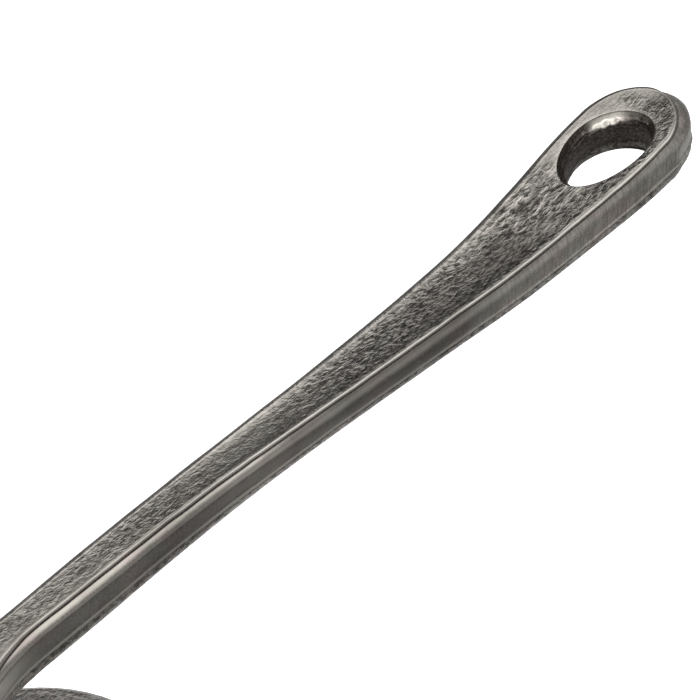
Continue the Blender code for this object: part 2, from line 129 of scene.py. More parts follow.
# ------------------------------------------------------------------ plan outline
def resample_closed(p, n):
    q = np.vstack([p, p[:1]])
    s = np.r_[0, np.cumsum(np.hypot(*np.diff(q, axis=0).T))]
    t = np.linspace(0, s[-1], n, endpoint=False)
    return np.stack([np.interp(t, s, q[:, 0]), np.interp(t, s, q[:, 1])], 1)


def smooth_closed(v, rounds=4):
    for _ in range(rounds):
        v = 0.5 * v + 0.25 * (np.roll(v, 1, 0) + np.roll(v, -1, 0))
    return v


def outline(ds):
    a = np.linspace(math.pi, math.acos(FILLET_TOUCH / HUB_R), 300)
    hub = np.stack([HUB_R * np.cos(a), HUB_R * np.sin(a)], 1)
    x = np.linspace(FILLET_TOUCH, FILLET_X, 200)[1:]
    fil = np.stack([x, half_width(x)], 1)
    x = np.linspace(FILLET_X, END_FROM, 900)[1:]
    arm = np.stack([x, half_width(x)], 1)
    th = np.linspace(0, math.pi / 2, 300)[1:]
    u = np.sin(th) ** (2 / END_POW)
    end = np.stack([END_FROM + (TIP_X - END_FROM) * u, arm_half(END_FROM) * np.cos(th)], 1)
    up = np.vstack([hub, fil, arm, end])
    down = up[::-1][1:-1] * [1, -1]
    whole = np.vstack([up, down])
    length = np.hypot(*np.diff(np.vstack([whole, whole[:1]]), axis=0).T).sum()
    n = int(round(length / ds / 2)) * 2
    return resample_closed(whole, n)          # clockwise seen from above: far side first


def inward_normals(p):
    t = np.roll(p, -1, 0) - np.roll(p, 1, 0)
    t /= np.linalg.norm(t, axis=1)[:, None]
    n = np.stack([t[:, 1], -t[:, 0]], 1)      # right of travel
    area = 0.5 * np.sum(p[:, 0] * np.roll(p[:, 1], -1) - np.roll(p[:, 0], -1) * p[:, 1])
    if area > 0:
        n = -n
    n = smooth_closed(n, 6)
    return n / np.linalg.norm(n, axis=1)[:, None]


def kd_of(points):
    kd = KDTree(len(points))
    for i, p in enumerate(points):
        kd.insert((p[0], p[1], 0.0), i)
    kd.balance()
    return kd


def distances(kd, pts):
    return np.array([kd.find((x, y, 0.0))[2] for x, y in pts])


def inside(loop, pts):
    """Even-odd test of pts against a closed loop, vectorised."""
    res = np.zeros(len(pts), bool)
    a, b = loop, np.roll(loop, -1, 0)
    for lo in range(0, len(pts), 2000):
        q = pts[lo:lo + 2000]
        cond = (a[None, :, 1] > q[:, None, 1]) != (b[None, :, 1] > q[:, None, 1])
        with np.errstate(divide="ignore", invalid="ignore"):
            xi = a[None, :, 0] + (q[:, None, 1] - a[None, :, 1]) * (b - a)[None, :, 0] / (b - a)[None, :, 1]
        res[lo:lo + 2000] = (np.sum(cond & (q[:, None, 0] < xi), 1) % 2) == 1
    return res


def vnoise(pts, scale, seed, octaves=2):
    """Smooth noise, -1 to 1, at points in mm. scale is (fx, fy, fz) in cycles per mm."""
    q = pts * np.array(scale) + seed * 17.31
    if octaves <= 1:
        return np.array([noise.noise(Vector(v)) for v in q])
    return np.array([noise.fractal(Vector(v), 0.9, 2.1, octaves) for v in q])


# ------------------------------------------------------------------ meshes
def mesh_object(name, verts_mm, faces, smooth=True, attrs=None):
    me = bpy.data.meshes.new(name)
    me.from_pydata([tuple(v) for v in np.asarray(verts_mm) * MM], [], faces)
    me.validate(clean_customdata=False)
    if attrs:
        for key, val in attrs.items():
            a = me.attributes.new(key, "FLOAT", "POINT")
            a.data.foreach_set("value", np.asarray(val, np.float32))
    if smooth:
        me.shade_smooth()
    o = bpy.data.objects.new(name, me)
    bpy.context.scene.collection.objects.link(o)
    return o


def vertex_normals(o):
    n = np.zeros(len(o.data.vertices) * 3, np.float32)
    o.data.vertices.foreach_get("normal", n)
    return n.reshape(-1, 3).astype(float)


def coords(o):
    c = np.zeros(len(o.data.vertices) * 3, np.float32)
    o.data.vertices.foreach_get("co", c)
    return c.reshape(-1, 3).astype(float)


def set_coords(o, c):
    o.data.vertices.foreach_set("co", c.astype(np.float32).ravel())
    o.data.update()


def build_lever():
    ds = 0.2
    P = outline(ds)
    P[:, 1] -= 0.10 * smooth01((P[:, 0] - 110) / 6.0) * smooth01((127 - P[:, 0]) / 5.0) * np.clip(P[:, 1] / 2.0, 0, 1)     # the far side of the eye is a little flatter
    IN = inward_normals(P)
    turn = np.degrees(np.arctan2(-IN[:, 1], -IN[:, 0]))
    fuller = 0.50 * smooth01((turn + 15) / 24.0) * smooth01((90 - turn) / 40.0) + 0.26 * np.exp(-((turn - 52) / 17.0) ** 2) - 0.14 * np.exp(-((turn + 42) / 14.0) ** 2)
    P = P - IN * smooth_closed(fuller * smooth01((P[:, 0] - 125) / 4.0), 60)[:, None]
    IN = inward_normals(P)
    n = len(P)
    px = P[:, 0]
    far = smooth01((-IN[:, 1] + 0.15) / 0.7)               # 1 on the far long side, 0 on the near one
    t, bulge, foot = thick(px), lin(BULGE, px), lin(FOOT, px)
    r = lin(RIM, px) * (1 - far) + lin(RIM_FAR, px) * far  # crest height below the rim's top
    ni = lin(RIM_IN, px) * (1 - far)                       # the near rim stands back from the body, not quite straight
    ni = ni + 0.055 * vnoise(np.stack([px, np.zeros(n), np.zeros(n)], 1), (0.21, 1, 1), 9, 2) * (1 - far) * smooth01((px - 16) / 8)
    rw = r * (1 - far) + 0.80 * far                        # width of the rim's rounding
    rh = r * (1 - far) + 0.66 * far
    wl = np.where(px > END_FROM, float(arm_half(END_FROM)), half_width(px))
    wl = np.where(px < 14, HUB_R, wl)
    outer_kd = kd_of(P)

    # holes: eye, locking screw, square
    holes = []
    m = 300
    ph = np.linspace(0, 2 * np.pi, m, endpoint=False)
    eye_front = np.stack([EYE_X - 0.05 + 6.80 * np.cos(ph), 4.08 * np.sin(ph) * (1 + 0.09 * np.cos(ph)) + 0.16 * np.maximum(np.sin(ph), 0)], 1)
    eye_wall = np.stack([EYE_X + 0.25 + 6.10 * np.cos(ph), 3.50 * np.sin(ph) * (1 + 0.08 * np.cos(ph)) + 0.20 * np.maximum(np.sin(ph), 0)], 1)
    eye_back = np.stack([EYE_X + 0.62 + 6.52 * np.cos(ph), 3.92 * np.sin(ph) * (1 + 0.10 * np.cos(ph)) + 0.36 * np.maximum(np.sin(ph), 0)], 1)
    deg = np.degrees(ph)
    hub_end = smooth01((deg - 60) / 16.0) * smooth01((305 - deg) / 20.0)                    # 1 where the bevel faces the tip
    lip = np.exp(-((deg - 46) / 19.0) ** 2)                           # a lip on part of the bevel's lower edge, painted bright as wear and as a painted highlight
    ragged = (0.14 + 0.16 * lip) * np.array([noise.fractal(Vector((5.5 * math.cos(q), 5.5 * math.sin(q), 3.3)), 0.7, 2.0, 3) for q in ph])
    holes.append(dict(kind="eye", front=eye_front, wall=eye_wall, drop=0.55, ring=0.30))
    ml = 72
    pl = np.linspace(0, 2 * np.pi, ml, endpoint=False)
    lock = np.stack([LOCK_XY[0] + 2.3 * np.cos(pl), LOCK_XY[1] + 2.3 * np.sin(pl)], 1)
    lock_front = np.stack([LOCK_XY[0] + 2.55 * np.cos(pl), LOCK_XY[1] + 2.55 * np.sin(pl)], 1)
    holes.append(dict(kind="lock", front=lock_front, wall=lock, drop=0.25, ring=0.1))
    sq = []
    for cx, cy in ((1, -1), (1, 1), (-1, 1), (-1, -1)):
        sq.append((cx * 3.2, cy * 3.2))
    sq = np.array(sq, float)
    square = np.vstack([np.stack([np.linspace(sq[i][0], sq[(i + 1) % 4][0], 12, endpoint=False),
                                  np.linspace(sq[i][1], sq[(i + 1) % 4][1], 12, endpoint=False)], 1) for i in range(4)])
    holes.append(dict(kind="square", front=square * 1.03, wall=square, drop=0.1, ring=0.08))

    # relief of the top face at plan points
    def relief(pts, d=None):
        x = pts[:, 0]
        if d is None:
            d = distances(outer_kd, pts)
        w = np.where(x > END_FROM, float(arm_half(END_FROM)), half_width(x))
        side = smooth01((pts[:, 1] + 0.7) / 1.4)          # 0 near, 1 far
        rr = (lin(RIM, x) + lin(RIM_IN, x)) * (1 - side) + lin(RIM_FAR, x) * side
        q = np.clip((d - rr) / np.maximum(w - rr, 0.4), 0, 1)
        pw = 2.9 + 2.4 * side * smooth01((116 - x) / 8.0) - 0.5 * smooth01((x - 90) / 20.0)
        return lin(DISH, x) * (1 - (1 - q) ** pw)         # depth below the crest

    verts, faces, info = [], [], []                       # info: (zone, wear with painted highlight, dark as painted shade with oxide)
    count = [0]

    def add(pts, down, zone, wear_and_highlight, dark=0.0):
        verts.append(lever_space(pts[:, 0], pts[:, 1], down))
        info.append(np.stack([np.broadcast_to(np.asarray(v, float), len(pts)) for v in (zone, wear_and_highlight, dark)], 1))
        start = count[0]
        count[0] += len(pts)
        return np.arange(start, start + len(pts))

    def strip(a, b, flip=False):
        k = len(a)
        for i in range(k):
            j = (i + 1) % k
            f = (int(a[i]), int(b[i]), int(b[j]), int(a[j]))
            faces.append(f[::-1] if flip else f)

    # ---- outer boundary profile
    gap = np.full(n, 9.0)
    eye_kd = kd_of(eye_front)
    near_eye = px > EYE_X - 14
    gap[near_eye] = distances(eye_kd, P[near_eye])
    inner = np.minimum(np.minimum(1.5, 0.5 * wl), np.maximum(gap - 0.42, 0.5))
    # how far the body stands out past the rim: little along the arm, a full round nose at the tip
    ang = np.degrees(np.arctan2(-IN[:, 1], -IN[:, 0]))
    nose = smooth01((px - 110) / 16.0)
    bulge = bulge * (1 - far) + np.maximum(bulge, 0.36) * far
    stand = bulge * (1 - nose) + nose * np.interp(ang, [-90, -70, -50, -35, 0, 30, 50, 70, 90], [0.24, 0.58, 1.16, 1.28, 0.86, 0.90, 0.86, 0.62, 0.36])
    low = (lin(LOW, px) * (1 - far) + 0.6 * bulge * far) * (1 - nose) + nose * np.interp(ang, [-90, -70, -50, -35, 0, 30, 50, 70, 90], [0.32, 0.40, 1.10, 1.30, 0.90, 0.68, 0.45, 0.28, 0.16])
    rows = []

    # painted shade: the near side of the arm towards the hub is darkened
    root = 0.30 * (1 - far) * smooth01((60 - px) / 16.0) * smooth01((px - 16) / 8.0)

    def at(delta, down, zone, wear_and_highlight=0.0, dark=0.0):
        dark = np.maximum(dark, root)
        rows.append(add(P + IN * np.broadcast_to(delta, n)[:, None], down, zone, wear_and_highlight, dark))

    top_inner = P + IN * inner[:, None]
    rows.append(add(top_inner, relief(top_inner, inner), 0, 0.0))
    for f, zn in ((0.72, 0.0), (0.46, 0.0), (0.24, 0.12), (0.09, 0.3)):
        d = r + ni + (inner - r - ni) * f
        q = P + IN * d[:, None]
        rows.append(add(q, relief(q, d), zn * (1 - far) + (0.12 if f < 0.4 else 0.06 if f < 0.6 else 0.0) * far, (0.15 + 0.6 * (1 - f) ** 4) * (1 - far) + (0.6 if f < 0.4 else 0.2) * far))
    out0 = r - rw + ni                                     # the far rim rounds over further out
    rim_wear_highlight = 1 - 0.75 * far - 0.45 * (1 - far) * smooth01((58 - px) / 14.0)
    for a in (90, 76, 62, 48, 34, 20, 6):                  # rim rounding: its crest painted bright as wear and as a painted highlight, its outer edge painted dark as shade
        c, s = math.cos(math.radians(a)), math.sin(math.radians(a))
        at(r + ni - rw * c, rh - rh * s, (0.3 if a > 60 else 0.6) * (1 - far * (1.0 if a > 80 else 0.0)), rim_wear_highlight * max(0.0, math.sin(math.radians(min(90, a * 1.25)))),
           (1 - far) * (0.9 if a < 18 else 0.25 if a < 30 else 0.0) + far * (0.55 if a < 70 else 0.1))
    # the crease under the rim, painted dark as shade with oxide, then the shoulder, painted lighter as wear and as a
    # painted highlight, and the side
    step = lin(STEP, px) * (1 - far) + 0.10 * far
    crease = rh + step
    groove = lin(GROOVE, px) * (1 - far)
    at(out0 + groove * 0.5 + 0.02, rh + 0.3 * step, 1.0, 0.0, 0.9 - 0.5 * far)
    at(out0 + groove + 0.02, crease - 0.03, 1.0, 0.0, 1.0 - 0.6 * far)
    at(out0 + groove - 0.02, crease + 0.02, 1.0, 0.0, 0.9 - 0.5 * far)
    seam = lin(SEAM, px)
    shoulder = np.minimum(lin(SHOULDER, px), seam - crease - 0.36)
    top_side = crease + 0.04 + shoulder
    q = lin(ROUND, px) * (1 - nose) + 1.4 * nose
    pw = lin(POWER, px) * (1 - nose) + (2.0 + 0.6 * smooth01((ang + 80) / 60)) * nose
    q = q * (1 - nose) + (1.0 + 0.5 * smooth01((ang + 80) / 60)) * nose
    for v in (0.03, 0.08, 0.16, 0.28, 0.42, 0.60, 0.80, 1.0):
        at(out0 + groove * 0.8 + (-stand - out0 - groove * 0.8) * np.power(1 - np.power(1 - v, pw), 1 / q), crease + 0.04 + shoulder * v, 1.0,
           0.5 * math.sin(math.pi * min(1, v * 1.6)) + 0.1, max(0.0, 0.4 - 12 * v))
    body = lambda z: -(stand + (low - stand) * np.power(np.clip((z - top_side) / (t - foot - top_side), 0, 1), 2.0))
    for v in (0.25, 0.5, 0.75):
        z = top_side + (seam - 0.24 - top_side) * v
        at(body(z), z, 1.0, 0.1)
    # casting parting line: a thin raised seam, painted bright as wear and as a painted highlight, with a rough undercut
    # below it painted dark as shade
    for off, lift, zone, seam_wear_highlight, dk in ((-0.26, 0.0, 1.0, 0.1, 0.0), (-0.16, 0.01, 1.2, 0.6, 0.0), (-0.04, 0.12, 1.5, 1.0, 0.0), (0.03, 0.13, 1.5, 1.0, 0.0),
                                    (0.07, 0.02, 1.8, 0.0, 0.9), (0.14, -0.02, 1.8, 0.0, 0.8), (0.24, 0.0, 1.8, 0.2, 0.2)):
        at(body(seam) - lift, seam + off, zone, seam_wear_highlight, dk)
    for v in (0.5, 1.0):
        z = seam + 0.30 + np.maximum(t - foot - seam - 0.30, 0.06) * v
        at(body(z), z, 1.8, 0.15)
    for a in (15, 30, 45, 60, 75, 90):
        c, s = math.cos(math.radians(a)), math.sin(math.radians(a))
        at(np.minimum(foot * (1 - c) - low, inner), t - foot + foot * s, 2.0, 0.15)
    bot_inner = add(top_inner, t, 2.0, 0.0)
    rows.append(bot_inner)
    for a, b in zip(rows, rows[1:]):
        strip(a, b)
    top_loop, bottom_loop = rows[0], rows[-1]

    # ---- holes
    hole_loops = []
    for h in holes:
        F, Wl = h["front"], h["wall"]
        c0 = F.mean(0)
        out = F - c0
        out /= np.linalg.norm(out, axis=1)[:, None]
        outn = -inward_normals(F) if h["kind"] != "square" else out
        k = len(F)
        ring = F + outn * h["ring"]
        hr = []
        hr.append(add(ring, relief(ring), 0.1, 0.1))
        zt = thick(F[:, 0])
        base = relief(F)
        if h["kind"] == "eye":
            # sharp front edge with a crease painted dark as shade, a steep smooth bevel, a lip painted bright as wear
            # and as a painted highlight, then the rough cored wall painted dark as shade
            prof = [(-0.16, 0.0, 0.1, 0.2, 0.0), (-0.06, 0.006, 0.2, 0.2, 0.0), (-0.01, 0.015, 0.4, 0.0, 0.8), (0.03, 0.06, 3.0, 0.0, 0.8),
                    (0.07, 0.12, 3.0, 0.0, 0.1), (0.18, 0.24, 3.0, 0.1, 0.0), (0.30, 0.38, 3.0, 0.2, 0.0), (0.43, 0.53, 3.0, 0.3, 0.0),
                    (0.56, 0.68, 3.0, 0.5, 0.0), (0.68, 0.79, 3.0, 0.9, 0.0), (0.79, 0.88, 3.0, 1.0, 0.0), (0.89, 0.97, 3.0, 1.0, 0.0),
                    (0.95, 1.08, 3.1, 0.5, 0.3), (0.99, 1.22, 3.5, 0.0, 0.95), (1.0, 1.42, 4.0, 0.0, 1.0), (1.0, 1.64, 4.0, 0.0, 1.0)]
            shelf = (0, 0, 0, 0, 0, 0, 0, 0.02, 0.07, 0.17, 0.29, 0.40, 0.46, 0.46, 0.38, 0.24)
            for k, (s, dn, zone, wear_and_highlight, dark) in enumerate(prof):
                rag = ragged * min(1.0, max(0.0, (s - 0.45) * 3.0))
                pts = F + (Wl - F) * max(s, 0) + (outn * (-s) if s < 0 else 0) - outn * (shelf[k] * lip)[:, None]
                # painted shade: the bevel on the hub half, and the wall away from the lip, are painted dark so the
                # highlight shows only at the lip
                oxide_and_shade = 0.90 * hub_end if s > 0.02 else 0.0
                if s > 0.6:
                    oxide_and_shade = np.maximum(oxide_and_shade, (1 - lip) * min(1.0, (s - 0.60) * 5.0) * 0.85)
                hr.append(add(pts, base + dn + rag, zone, wear_and_highlight * lip, np.maximum(dark, oxide_and_shade)))
            # the cored wall and the back edge of the eye are painted dark as shade
            for v in (0.38, 0.45, 0.52, 0.59, 0.66, 0.73, 0.80):
                u = smooth01((v - 0.36) / 0.5)
                hr.append(add(Wl + (eye_back - Wl) * u, zt * v, 4.0, 0.0, 1.0))
            wn = -inward_normals(eye_back)
            for s, up in ((-0.04, 0.55), (0.02, 0.28), (0.12, 0.10), (0.28, 0.02)):
                hr.append(add(eye_back + wn * s, zt - up, 3.9, 0.1, 0.6))
            last = ring
        else:
            for s, dn in ((0.0, 0.03), (1.0, h["drop"])):
                hr.append(add(F + (Wl - F) * s, base + dn, 3.0, 0.5))
            hr.append(add(Wl, zt * 0.5, 4.0, 0.0))
            hr.append(add(Wl, zt - 0.12, 4.0, 0.0))
        hr.append(add(ring, zt, 2.0, 0.0))
        for a, b in zip(hr, hr[1:]):
            strip(a, b, flip=True)
        hole_loops.append((ring, hr[0], hr[-1]))

    # ---- fill of the face, shared by the back
    spacing = 0.24
    gx = np.arange(-HUB_R, TIP_X, spacing)
    gy = np.arange(-HUB_R, HUB_R, spacing * 0.866)
    X, Y = np.meshgrid(gx, gy)
    X = X + (np.arange(len(gy)) % 2)[:, None] * spacing / 2
    G = np.stack([X.ravel(), Y.ravel()], 1)
    G = G[np.abs(G[:, 1]) < np.maximum(half_width(G[:, 0]) - 0.3, 0)]
    G = G + 0.12 * spacing * np.stack([np.sin(G[:, 0] * 37.1 + G[:, 1] * 11.7), np.cos(G[:, 0] * 23.3 - G[:, 1] * 19.1)], 1)
    G = G[inside(top_inner, G)]
    for ring, _, _ in hole_loops:
        G = G[~inside(ring, G)]
    loops = [top_inner] + [h[0] for h in hole_loops]
    all_loop = np.vstack(loops)
    lkd = kd_of(all_loop)
    G = G[distances(lkd, G) > spacing * 0.55]
    pts = np.vstack([all_loop, G])
    edges = []
    start = 0
    for L in loops:
        k = len(L)
        edges += [(start + i, start + (i + 1) % k) for i in range(k)]
        start += k
    ov, oe, of_, ovo, oeo, ofo = delaunay_2d_cdt([Vector((float(a), float(b))) for a, b in pts], edges, [], 0, 1e-7)
    ov = np.array([(v.x, v.y) for v in ov])
    tri = np.array([f for f in of_ if len(f) == 3])
    cen = ov[tri].mean(1)
    keep = inside(top_inner, cen)
    for ring, _, _ in hole_loops:
        keep &= ~inside(ring, cen)
    tri = tri[keep]
    src = [v[0] if len(v) else -1 for v in ovo]
    loop_top = np.concatenate([top_loop] + [h[1] for h in hole_loops])
    loop_bot = np.concatenate([bottom_loop] + [h[2] for h in hole_loops])
    g_top = add(G, relief(G), 0, 0.0)
    g_bot = add(G, thick(G[:, 0]), 2.0, 0.0)
    nl = len(all_loop)
    top_ids = np.array([loop_top[s] if s < nl else g_top[s - nl] for s in src])
    bot_ids = np.array([loop_bot[s] if s < nl else g_bot[s - nl] for s in src])
    a = ov[tri]
    sign = (a[:, 1, 0] - a[:, 0, 0]) * (a[:, 2, 1] - a[:, 0, 1]) - (a[:, 1, 1] - a[:, 0, 1]) * (a[:, 2, 0] - a[:, 0, 0])
    for (i, j, k), s in zip(tri, sign):
        f = (int(top_ids[i]), int(top_ids[j]), int(top_ids[k]))
        b = (int(bot_ids[i]), int(bot_ids[j]), int(bot_ids[k]))
        faces.append(f if s > 0 else f[::-1])
        faces.append(b[::-1] if s > 0 else b)

    V = np.vstack(verts)
    I = np.vstack(info)
    vx, vy = V[:, 0], V[:, 1]
    eye_part = smooth01((vx - 115) / 6.0)
    speckle = np.exp(-((vx - 132.4) ** 2 + (vy + 1.2) ** 2) / (2 * 1.7 ** 2)) + 0.55 * np.exp(-((vx - 132.0) ** 2 + (vy - 2.6) ** 2) / (2 * 1.0 ** 2))
    grain_amount = 1.0 - 0.80 * eye_part * smooth01((vy + 3.6) / 2.4)
    grain_amount = np.clip(np.maximum(grain_amount, speckle), 0, 1)
    near_side = smooth01((-vy / np.maximum(half_width(vx), 0.5) - 0.15) / 0.5)
    grain_amount *= 1 - (0.35 + 0.5 * near_side) * smooth01((52 - vx) / 18.0)
    # painted shade: the face is darkened in the deepest part of its dish
    hollow_shade = np.maximum(0.26 * np.exp(-((vx - 94) / 8.0) ** 2), 0.58 * np.exp(-((vx - 105.0) / 5.5) ** 2)) * np.exp(-((vy + 0.7) / 2.3) ** 4) * (I[:, 0] < 0.25)
    flow = np.exp(-((vx - 112) / 6.5) ** 2) * (I[:, 0] < 0.25) * smooth01((vx - 98) / 6.0) * smooth01((vy + 2.4) / 2.0)
    grain_amount *= 1 - 0.60 * np.exp(-((vx - 61) / 12.0) ** 2)
    matte = smooth01((vx - 88) / 18.0) * (I[:, 0] >= 0.99) * (I[:, 0] < 1.9) * (1 - I[:, 2])
    o = mesh_object("lever_cast", V, faces, attrs={"zone": I[:, 0], "wear_and_highlight": I[:, 1], "dark": np.maximum(I[:, 2], hollow_shade), "grain": grain_amount, "matte": matte, "flow": flow,
                                                   "pits": np.clip(np.maximum(speckle * 1.15, 0.30 * eye_part * (vy > -1.0) * (I[:, 0] < 0.5)), 0, 1)})
    bm = bmesh.new()
    bm.from_mesh(o.data)
    bmesh.ops.recalc_face_normals(bm, faces=bm.faces)
    bad = [e for e in bm.edges if not e.is_manifold]
    print("lever: verts", len(bm.verts), "faces", len(bm.faces), "open edges", len(bad))
    bm.to_mesh(o.data)
    bm.free()
    o.data.shade_smooth()
    # surface relief: cast grain on the face, slow hand-finished waviness on the rim and sides, rough walls in the eye
    C = coords(o) / MM
    N = vertex_normals(o)
    zone, wear_and_highlight = I[:, 0], I[:, 1]
    grain = vnoise(C, (0.9, 1.7, 1.7), 1, 3)
    wave = vnoise(C, (0.16, 0.22, 0.22), 2, 1)
    fine = vnoise(C, (2.2, 2.2, 2.2), 3, 2)
    amp = np.where(zone < 0.25, 0.030, np.where(zone < 0.9, 0.006, np.where(zone < 1.6, 0.006, np.where(zone < 1.95, 0.03, 0.018))))
    amp = np.where((zone >= 2.9) & (zone < 3.9), 0.006, amp)
    amp = np.where(zone >= 3.9, 0.06, amp)
    amp = np.where(C[:, 0] < 13, np.minimum(amp, 0.012), amp)
    flow = vnoise(C, (0.22, 1.5, 1.5), 5, 2)
    ridges = np.exp(-((C[:, 0] - 111) / 7.0) ** 2) * (zone < 0.25) * 0.075 * flow
    on_face = zone < 0.25
    amp = np.where(on_face, amp * grain_amount, amp)
    C = C + N * (amp * (0.8 * grain + 0.2 * fine) + ridges + 0.030 * wave * (np.abs(zone - 0.8) < 0.3) + 0.010 * wave)[:, None]
    set_coords(o, C * MM)
    return o


# ------------------------------------------------------------------ materials
class Nodes:
    """Short way of writing a node material."""

    def __init__(self, name):
        self.mat = bpy.data.materials.new(name)
        self.mat.use_nodes = True
        self.t = self.mat.node_tree
        self.bsdf = next(n for n in self.t.nodes if n.type == "BSDF_PRINCIPLED")
        self.tc = self.new("ShaderNodeTexCoord")

    def new(self, kind, **kw):
        n = self.t.nodes.new(kind)
        for k, v in kw.items():
            setattr(n, k, v)
        return n

    def link(self, a, b):
        self.t.links.new(a, b)

    def mapped(self, scale=(1, 1, 1), loc=(0, 0, 0), rot=(0, 0, 0)):
        m = self.new("ShaderNodeMapping")
        self.link(self.tc.outputs["Object"], m.inputs["Vector"])
        m.inputs["Scale"].default_value = scale
        m.inputs["Location"].default_value = loc
        m.inputs["Rotation"].default_value = rot
        return m.outputs[0]

    def noise(self, vec, scale, detail=4.0, rough=0.55, distort=0.0, dims="3D"):
        n = self.new("ShaderNodeTexNoise", noise_dimensions=dims)
        self.link(vec, n.inputs["Vector"])
        n.inputs["Scale"].default_value = scale
        n.inputs["Detail"].default_value = detail
        n.inputs["Roughness"].default_value = rough
        n.inputs["Distortion"].default_value = distort
        return n.outputs["Fac"]

    def voronoi(self, vec, scale, feature="F1", rand=1.0):
        n = self.new("ShaderNodeTexVoronoi", feature=feature)
        self.link(vec, n.inputs["Vector"])
        n.inputs["Scale"].default_value = scale
        n.inputs["Randomness"].default_value = rand
        return n.outputs["Distance"]

    def ramp(self, fac, stops, interp="LINEAR"):
        n = self.new("ShaderNodeValToRGB")
        n.color_ramp.interpolation = interp
        e = n.color_ramp.elements
        while len(e) < len(stops):
            e.new(0.5)
        for el, (p, c) in zip(e, stops):
            el.position = p
            el.color = (*c, 1) if isinstance(c, tuple) else (c, c, c, 1)
        self.link(fac, n.inputs["Fac"])
        return n.outputs["Color"]

    def math(self, op, a, b=None, clamp=False):
        n = self.new("ShaderNodeMath", operation=op, use_clamp=clamp)
        for s, v in zip(n.inputs, (a, b)):
            if v is None:
                continue
            if isinstance(v, (int, float)):
                s.default_value = v
            else:
                self.link(v, s)
        return n.outputs[0]

    def remap(self, v, a, b, c, d, clamp=True):
        n = self.new("ShaderNodeMapRange", clamp=clamp)
        self.link(v, n.inputs[0])
        for i, x in zip((1, 2, 3, 4), (a, b, c, d)):
            n.inputs[i].default_value = x
        return n.outputs[0]

    def mix(self, fac, a, b, blend="MIX"):
        n = self.new("ShaderNodeMix", data_type="RGBA", blend_type=blend)
        if isinstance(fac, (int, float)):
            n.inputs[0].default_value = fac
        else:
            self.link(fac, n.inputs[0])
        for s, v in ((n.inputs[6], a), (n.inputs[7], b)):
            if isinstance(v, tuple):
                s.default_value = (*v, 1)
            else:
                self.link(v, s)
        return n.outputs[2]

    def attr(self, name):
        n = self.new("ShaderNodeAttribute", attribute_name=name)
        return n.outputs["Fac"]

    def bump(self, height, strength, distance, normal=None):
        n = self.new("ShaderNodeBump")
        n.inputs["Strength"].default_value = strength
        n.inputs["Distance"].default_value = distance
        self.link(height, n.inputs["Height"])
        if normal is not None:
            self.link(normal, n.inputs["Normal"])
        return n.outputs[0]

    def out(self, **kw):
        for k, v in kw.items():
            s = self.bsdf.inputs[k.replace("_", " ")]
            if isinstance(v, (int, float)):
                s.default_value = v
            elif isinstance(v, tuple):
                s.default_value = (*v, 1)
            else:
                self.link(v, s)
        return self.mat


